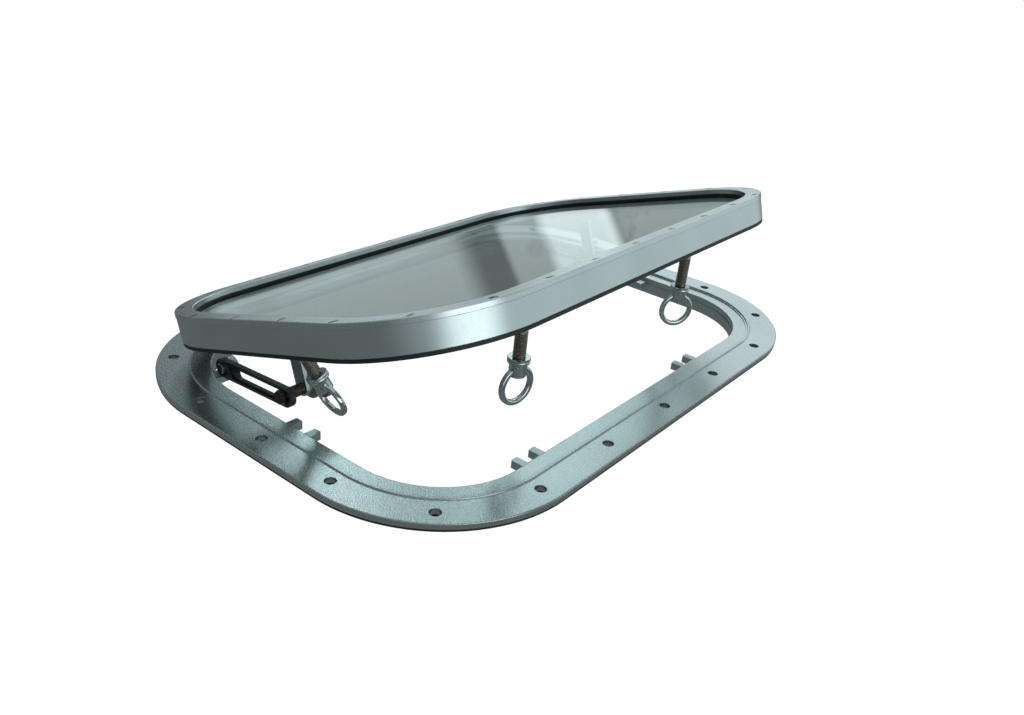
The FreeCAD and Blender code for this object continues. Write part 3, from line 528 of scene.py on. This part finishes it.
def knurl_tree():
    """Straight knurling: small ridges round a drum, with the drum itself."""
    tree, given, names = new_tree("Knurled grip", {"Radius": "Float", "Length": "Float", "Ridges": "Int",
                                                   "Ridge": "Float", "Metal": "Material"})
    out = given.outputs
    ring = put(tree, "GeometryNodeMeshCircle", {"Vertices": out["Ridges"], "Radius": out["Radius"]})
    long = put(tree, "ShaderNodeCombineXYZ", {"X": out["Ridge"], "Y": out["Ridge"], "Z": out["Length"]})
    bar = put(tree, "GeometryNodeMeshCube", {"Size": long.outputs[0]})
    edge_on = put(tree, "GeometryNodeTransform", {"Geometry": bar.outputs["Mesh"],
                                                  "Rotation": (0, 0, math.radians(45))})
    place = put(tree, "GeometryNodeInputPosition")
    aim = put(tree, "FunctionNodeAlignRotationToVector", {"Vector": place.outputs[0]}, axis="X")
    ridges = put(tree, "GeometryNodeInstanceOnPoints", {"Points": ring.outputs[0], "Instance": edge_on.outputs[0],
                                                        "Rotation": aim.outputs[0]})
    both = put(tree, "GeometryNodeJoinGeometry", {"Geometry": ridges.outputs[0]})
    tree.links.new(out["Geometry"], both.inputs[0])
    closing(tree, both.outputs[0], out["Metal"])
    return tree, names


def point_mesh(places):
    """Mesh of loose points, each with the axis its screw stands on."""
    mesh = bpy.data.meshes.new("points")
    mesh.from_pydata([place for place, axis in places], [], [])
    facing = mesh.attributes.new("axis", "FLOAT_VECTOR", "POINT")
    for i, (place, axis) in enumerate(places):
        facing.data[i].vector = axis
    return mesh


# Settings

class FinishSettings(bpy.types.PropertyGroup):
    """Colours that give the window its look."""
    rubber: bpy.props.StringProperty(name="Rubber", description="Colour of the seals", default="#171b1e")
    glass: bpy.props.StringProperty(name="Glass", description="Cast of the glass", default="#e3eeec")
    arm: bpy.props.StringProperty(name="Stay arm", description="Colour of the stay arms' enamel", default="#161f22")


class HardwareSettings(bpy.types.PropertyGroup):
    """Sizes of the small fittings."""
    thread_pitch: bpy.props.FloatProperty(name="Thread pitch",
                                          description="Rise of one turn of the swing bolt's thread",
                                          default=1.75 * MM, unit="LENGTH")
    thread_depth: bpy.props.FloatProperty(name="Thread depth", description="From the thread's crest to its root",
                                          default=1.07 * MM, unit="LENGTH")
    slot_width: bpy.props.FloatProperty(name="Slot width", description="Driver slot in the ring screws",
                                        default=2.3 * MM, unit="LENGTH")
    slot_depth: bpy.props.FloatProperty(name="Slot depth", description="Depth of the driver slot",
                                        default=1.8 * MM, unit="LENGTH")
    ridges: bpy.props.IntProperty(name="Knurl ridges", description="Ridges round each clamp knob", default=56)


class StageSettings(bpy.types.PropertyGroup):
    """Camera and studio."""
    lens: bpy.props.FloatProperty(name="Lens", description="Focal length on a 36 mm sensor, in millimetres",
                                  default=31.75)
    azimuth: bpy.props.FloatProperty(name="Azimuth", description="Camera's turn round the window",
                                     default=math.radians(-54.4747), subtype="ANGLE")
    elevation: bpy.props.FloatProperty(name="Elevation", description="Camera's height above level",
                                       default=math.radians(28.3361), subtype="ANGLE")
    roll: bpy.props.FloatProperty(name="Roll", description="Camera's turn about its own axis",
                                  default=math.radians(6.2483), subtype="ANGLE")
    place: bpy.props.FloatVectorProperty(name="Camera", description="Where the camera stands",
                                         default=(-0.7481, -0.5685, 0.4431), subtype="TRANSLATION")
    backdrop: bpy.props.FloatProperty(name="Backdrop", description="Brightness of the floor in the picture",
                                      default=1.0)
    light: bpy.props.FloatProperty(name="Light", description="Strength of the studio's light panels", default=1.2)


# Operators

class FinishNodes(bpy.types.Operator):
    """Give every CAD piece the finish of its material slot"""
    bl_idname = "shipwindow.finish_nodes"
    bl_label = "Finish the solids"

    def execute(self, context):
        make_materials(context.scene.window_finish)
        for entry in frame["record"]["subparts"]:
            piece = nodes[entry["node"]]
            piece.data.materials.clear()
            oiled = entry["node"].startswith("clamp_stud")
            piece.data.materials.append(MATERIALS["oiled_steel_and_root_shade" if oiled else entry["material_slot"]])
        return {"FINISHED"}


class RingScrews(bpy.types.Operator):
    """Slotted countersunk screws round the retaining ring"""
    bl_idname = "shipwindow.ring_screws"
    bl_label = "Ring screws"

    def execute(self, context):
        sizes = context.scene.window_hardware
        up = sash_turn() @ Vector((0, 0, 1))
        places = []
        radius = 0.0
        for part in loose_parts("ring_screws"):
            top = max(point.dot(up) for point in part)
            rim = [point for point in part if point.dot(up) > top - 0.05 * MM]
            centre = sum(rim, Vector()) / len(rim)
            radius = max(radius, max((point - centre).length for point in rim))
            places.append((centre, up))
        tree, names = slotted_screws_tree()
        values = {"Head radius": radius, "Head height": 2.0 * MM, "Slot width": sizes.slot_width,
                  "Slot depth": sizes.slot_depth, "Edge": 0.25 * MM, "Metal": MATERIALS["screw_steel"], "Seed": 7}
        grown("screw_heads", point_mesh(places), tree, names, values, Matrix(), "sash", ["ring_screws"])
        return {"FINISHED"}


class SmallScrews(bpy.types.Operator):
    """Pan-head screws that hold the lugs, brackets and hinges"""
    bl_idname = "shipwindow.small_screws"
    bl_label = "Small screws"

    def execute(self, context):
        sizes = context.scene.window_hardware
        turn = sash_turn()
        groups = (("lug_screws", "sash", turn @ Vector((0, 0, -1))), ("stay_screws", "sash", turn @ Vector((0, 0, -1))),
                  ("hinge_arm_screws", "sash", turn @ Vector((0, 1, 0))),
                  ("hinge_leaf_screws", "hull_frame", Vector((0, 0, 1))))
        for name, body, out in groups:
            places = []
            radius = 0.0
            for part in loose_parts(name):
                top = max(point.dot(out) for point in part)
                centre = sum(part, Vector()) / len(part)
                centre += out * (top - centre.dot(out))
                radius = max(radius, max(((point - centre) - out * (point - centre).dot(out)).length for point in part))
                places.append((centre, out))
            tree, names = slotted_screws_tree()
            values = {"Head radius": radius, "Head height": 1.3 * MM, "Slot width": sizes.slot_width * 0.6,
                      "Slot depth": sizes.slot_depth, "Edge": 0.7 * MM, "Metal": MATERIALS["screw_steel"], "Seed": 3}
            grown(name.replace("screws", "screw_heads"), point_mesh(places), tree, names, values, Matrix(), body,
                  [name])
        return {"FINISHED"}


class SwingBolts(bpy.types.Operator):
    """Swing bolts: a flat eye, a plain neck and a rolled thread over a dark root cylinder, which is painted shade
    between the ridges
    """
    bl_idname = "shipwindow.swing_bolts"
    bl_label = "Swing bolts"

    def execute(self, context):
        sizes = context.scene.window_hardware
        for station in STATIONS:
            place = bolt_place(station)
            shape = bmesh.new()
            lathe(shape, EYE_OUTLINE, "X", 48)
            lathe(shape, NECK_OUTLINE, "Z", 48)
            eye = from_bmesh("bolt_eye_" + station, shape, place, MATERIALS["stainless"])
            seat(eye, "bolt_" + station, ["swing_bolt_" + station])
            tree, names = thread_tree()
            outer = THREAD_RADIUS * MM
            values = {"Length": THREAD_LENGTH * MM, "Pitch": sizes.thread_pitch, "Outer radius": outer,
                      "Core radius": outer - sizes.thread_depth, "Metal": MATERIALS["thread"]}
            down = place @ Matrix.Translation((0, 0, THREAD_END * MM))
            grown("bolt_thread_" + station, bpy.data.meshes.new("empty"), tree, names, values, down, "bolt_" + station,
                  [])
            # Painted shade: a dark cylinder at the thread's root shows between the ridges, where the grooves fall in
            # shade
            root = outer / MM - sizes.thread_depth / MM + ROOT_SHOWS
            top, end = ROOT_ENDS
            shape = bmesh.new()
            lathe(shape, [(0.01, top), (root, top), (root, end), (0.01, end)], "Z", 40)
            seat(from_bmesh("bolt_root_shade_" + station, shape, place, MATERIALS["oiled_steel_and_root_shade"]), "bolt_" + station, [])
        return {"FINISHED"}


class RingNuts(bpy.types.Operator):
    """Ring nuts: collar, neck and a finger ring, with the washer that each pushes"""
    bl_idname = "shipwindow.ring_nuts"
    bl_label = "Ring nuts and washers"

    def execute(self, context):
        for station in STATIONS:
            place = bolt_place(station)
            inverse = place.inverted()
            washer = [inverse @ vert.co for vert in nodes["clamp_washer_" + station].data.vertices]
            low = min(point.z for point in washer) / MM
            high = max(point.z for point in washer) / MM
            ring = [inverse @ vert.co for vert in nodes["ring_nut_" + station].data.vertices]
            face = max(point.z for point in ring) / MM
            foot = min(point.z for point in ring) / MM
            centre = foot + FINGER_RING_CENTRE
            far = [point for point in ring if abs(point.z / MM - centre) < 4]
            widest = max(far, key=lambda point: point.x ** 2 + point.y ** 2)
            turn = math.atan2(widest.y, widest.x)
            shape = bmesh.new()
            bore, rim = WASHER_RADII
            lathe(shape, [(bore, low), (bore, high), (rim - WASHER_EDGE, high), (rim, high - WASHER_EDGE),
                          (rim, low + WASHER_EDGE), (rim - WASHER_EDGE, low)])
            seat(from_bmesh("washer_" + station, shape, place, MATERIALS["stainless"]), "washer_" + station,
                 ["clamp_washer_" + station])
            shape = bmesh.new()
            lathe(shape, [(radius, face + height) for radius, height in COLLAR_OUTLINE])
            turned = place @ Matrix.Rotation(turn, 4, "Z")
            seat(from_bmesh("nut_collar_" + station, shape, turned, MATERIALS["stainless"], 45.0), "nut_" + station,
                 ["ring_nut_" + station])
            shape = bmesh.new()
            torus(shape, FINGER_RING_RADIUS, WIRE_HALF, WIRE_HALF)
            bmesh.ops.recalc_face_normals(shape, faces=shape.faces)
            wire = bpy.data.meshes.new("wire")
            shape.to_mesh(wire)
            shape.free()
            tree, names = bored_tree()
            values = {"Bore": RING_BORE * MM, "Length": RING_BORE_LENGTH * MM, "Metal": MATERIALS["stainless"]}
            grown("finger_ring_" + station, wire, tree, names, values, turned @ Matrix.Translation((0, 0, centre * MM)),
                  "nut_" + station, [])
        return {"FINISHED"}


class ClampKnobs(bpy.types.Operator):
    """Knurled knobs that clamp the stays"""
    bl_idname = "shipwindow.clamp_knobs"
    bl_label = "Clamp knobs"

    def execute(self, context):
        count = context.scene.window_hardware.ridges
        for side in SIDES:
            name = "clamp_knob_" + side
            spin = joints["knob_turn_" + side]
            inward = Vector(spin["axis"])
            low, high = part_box(name)
            start = low.x if inward.x > 0 else high.x
            origin = Vector((start, spin["pos_m"][1], spin["pos_m"][2]))
            shape = bmesh.new()
            lathe(shape, KNOB_OUTLINE, "Z", 72)
            bmesh.ops.recalc_face_normals(shape, faces=shape.faces)
            drum = bpy.data.meshes.new("drum")
            shape.to_mesh(drum)
            shape.free()
            grip = basis(origin + inward * GRIP_MIDDLE * MM, (0, 1, 0), inward)
            drum.transform(Matrix.Translation((0, 0, -GRIP_MIDDLE * MM)))
            tree, names = knurl_tree()
            values = {"Radius": GRIP_RADIUS * MM, "Length": GRIP_LENGTH * MM, "Ridges": count, "Ridge": GRIP_RIDGE * MM,
                      "Metal": MATERIALS["knob_zinc"]}
            grown("knob_grip_" + side, drum, tree, names, values, grip, "knob_" + side, [name])
        return {"FINISHED"}


class Stage(bpy.types.Operator):
    """Floor, studio light and the camera"""
    bl_idname = "shipwindow.stage"
    bl_label = "Stage"

    def execute(self, context):
        setup = context.scene.window_stage
        floor = floor_plane(FLOOR_SIZE, Vector((0, 0, cad_box[0].z)), floor_material(setup.backdrop))
        floor.visible_glossy = False
        floor.visible_transmission = False
        world_light(context, setup.light)
        camera(context, setup)
        context.scene.view_settings.view_transform = "Standard"
        return {"FINISHED"}


def floor_plane(size, place, material):
    shape = bmesh.new()
    bmesh.ops.create_grid(shape, x_segments=1, y_segments=1, size=size / 2)
    shape.transform(Matrix.Translation(place))
    mesh = bpy.data.meshes.new("floor")
    shape.to_mesh(mesh)
    shape.free()
    mesh.materials.append(material)
    return link_mesh("floor", mesh)


def floor_material(strength):
    """White paper floor: white to the camera, and a dull grey to the light that falls on it."""
    material, tree, shader = new_material("White paper")
    path = put(tree, "ShaderNodeLightPath")
    shader.inputs["Base Color"].default_value = linear("#6f7777")
    shader.inputs["Roughness"].default_value = 0.9
    shader.inputs["Emission Color"].default_value = (1, 1, 1, 1)
    glow = put(tree, "ShaderNodeMath", {0: path.outputs["Is Camera Ray"], 1: strength}, operation="MULTIPLY")
    tree.links.new(glow.outputs[0], shader.inputs["Emission Strength"])
    return material


FLOOR_SIZE = 12.0
SENSOR_WIDTH = 36.0
LENS_SHIFT = (-0.00558, 0.02616)
CLIP_RANGE = (0.02, 50.0)
ROOM_LIGHT = 0.21

# Each light panel of the studio: its middle's bearing from +Y towards +X and its height in degrees,
# half its width and height, how soft its edge is, and its strength. The last one darkens the horizon.
PANELS = (
    (41.8, 35.0, 2.5, 7.0, 0.8, 3.60),
    (56.5, 32.0, 5.5, 13.0, 1.2, 1.35),
    (80.0, 30.0, 18.0, 15.0, 1.5, 0.72),
    (38.0, -4.0, 8.0, 5.0, 1.0, 0.42),
    (49.8, -3.0, 1.3, 5.0, 0.3, 0.38),
    (53.2, -2.0, 2.1, 5.0, 0.4, 1.00),
    (66.0, -2.0, 10.7, 6.0, 1.0, 0.34),
    (54.0, 8.0, 22.0, 6.5, 1.5, 0.70),
    (125.0, 0.0, 32.0, 18.0, 6.0, 0.60),
    (-170.0, 6.0, 23.0, 14.0, 8.0, 1.95),
    (-130.0, 2.0, 20.0, 14.0, 8.0, 0.22),
    (0.0, 75.0, 180.0, 18.0, 10.0, 0.55),
    (0.0, -3.0, 181.0, 9.0, 3.0, -0.09),
)


def panel_light(tree, bearing, height, panel):
    """Strength of one panel in the direction looked at."""
    at, up, half_wide, half_high, edge, strength = panel
    turned = put(tree, "ShaderNodeMath", {0: bearing, 1: math.radians(at)}, operation="SUBTRACT")
    nearest = put(tree, "ShaderNodeMath", {0: turned.outputs[0], 1: -math.pi, 2: math.pi}, operation="WRAP")
    raised = put(tree, "ShaderNodeMath", {0: height, 1: math.radians(up)}, operation="SUBTRACT")
    level = strength
    for offset, half in ((nearest, half_wide), (raised, half_high)):
        away = put(tree, "ShaderNodeMath", {0: offset.outputs[0]}, operation="ABSOLUTE")
        level = put(tree, "ShaderNodeMapRange", {"Value": away.outputs[0], "From Min": math.radians(half - edge),
                                                 "From Max": math.radians(half + edge), "To Min": level, "To Max": 0.0},
                    interpolation_type="SMOOTHSTEP").outputs[0]
    return level


def world_light(context, strength):
    """Dark studio with light panels round it; the camera itself sees plain white."""
    world = bpy.data.worlds.new("Studio")
    world.use_nodes = True
    tree = world.node_tree
    tree.nodes.clear()
    look = put(tree, "ShaderNodeTexCoord").outputs["Generated"]
    axes = put(tree, "ShaderNodeSeparateXYZ", {"Vector": look}).outputs
    bearing = put(tree, "ShaderNodeMath", {0: axes[0], 1: axes[1]}, operation="ARCTAN2").outputs[0]
    height = put(tree, "ShaderNodeMath", {0: axes[2]}, operation="ARCSINE").outputs[0]
    total = ROOM_LIGHT
    for panel in PANELS:
        lit = panel_light(tree, bearing, height, panel)
        total = put(tree, "ShaderNodeMath", {0: total, 1: lit}, operation="ADD").outputs[0]
    scaled = put(tree, "ShaderNodeMath", {0: total, 1: strength}, operation="MULTIPLY")
    tint = blend_colours(tree, between(tree, height, 0.0, 1.0, -0.42, -0.20), linear("#c6d0ce"), linear("#dfecee"))
    studio = put(tree, "ShaderNodeBackground", {"Color": tint, "Strength": scaled.outputs[0]})
    white = put(tree, "ShaderNodeBackground", {"Color": (1, 1, 1, 1), "Strength": 1.0})
    seen = put(tree, "ShaderNodeLightPath").outputs["Is Camera Ray"]
    mix = put(tree, "ShaderNodeMixShader", {0: seen, 1: studio.outputs[0], 2: white.outputs[0]})
    put(tree, "ShaderNodeOutputWorld", {"Surface": mix.outputs[0]})
    context.scene.world = world


def camera(context, setup):
    a, e, r = setup.azimuth, setup.elevation, setup.roll
    right = Vector((math.cos(a), math.sin(a), 0))
    up = Vector((-math.sin(a) * math.sin(e), math.cos(a) * math.sin(e), math.cos(e)))
    back = right.cross(up)
    across = right * math.cos(r) + up * math.sin(r)
    above = up * math.cos(r) - right * math.sin(r)
    data = bpy.data.cameras.new("camera")
    data.lens = setup.lens
    data.sensor_width = SENSOR_WIDTH
    data.shift_x, data.shift_y = LENS_SHIFT
    data.clip_start, data.clip_end = CLIP_RANGE
    holder = bpy.data.objects.new("camera", data)
    holder.matrix_world = Matrix.Translation(setup.place) @ Matrix((across, above, back)).transposed().to_4x4()
    context.scene.collection.objects.link(holder)
    context.scene.camera = holder


class WindowPanel(bpy.types.Panel):
    """Lists the settings and the operators"""
    bl_idname = "VIEW3D_PT_ship_window"
    bl_label = "Ship window"
    bl_space_type = "VIEW_3D"
    bl_region_type = "UI"
    bl_category = "Ship window"

    def draw(self, context):
        layout = self.layout
        for group in (context.scene.window_finish, context.scene.window_hardware, context.scene.window_stage):
            for name in group.__annotations__:
                layout.prop(group, name)
        for operator in OPERATORS:
            layout.operator(operator.bl_idname)


SETTINGS = {
    "window_finish": FinishSettings,
    "window_hardware": HardwareSettings,
    "window_stage": StageSettings,
}
OPERATORS = (FinishNodes, RingScrews, SmallScrews, SwingBolts, RingNuts, ClampKnobs, Stage)


def register():
    for settings in SETTINGS.values():
        bpy.utils.register_class(settings)
    for name, settings in SETTINGS.items():
        setattr(bpy.types.Scene, name, bpy.props.PointerProperty(type=settings))
    for operator in OPERATORS:
        bpy.utils.register_class(operator)
    bpy.utils.register_class(WindowPanel)


def unregister():
    bpy.utils.unregister_class(WindowPanel)
    for operator in reversed(OPERATORS):
        bpy.utils.unregister_class(operator)
    for name in SETTINGS:
        delattr(bpy.types.Scene, name)
    for settings in SETTINGS.values():
        bpy.utils.unregister_class(settings)


def main():
    register()
    bpy.ops.shipwindow.finish_nodes()
    bpy.ops.shipwindow.ring_screws()
    bpy.ops.shipwindow.small_screws()
    bpy.ops.shipwindow.swing_bolts()
    bpy.ops.shipwindow.ring_nuts()
    bpy.ops.shipwindow.clamp_knobs()
    bpy.ops.shipwindow.stage()


if __name__ == "__main__":
    main()
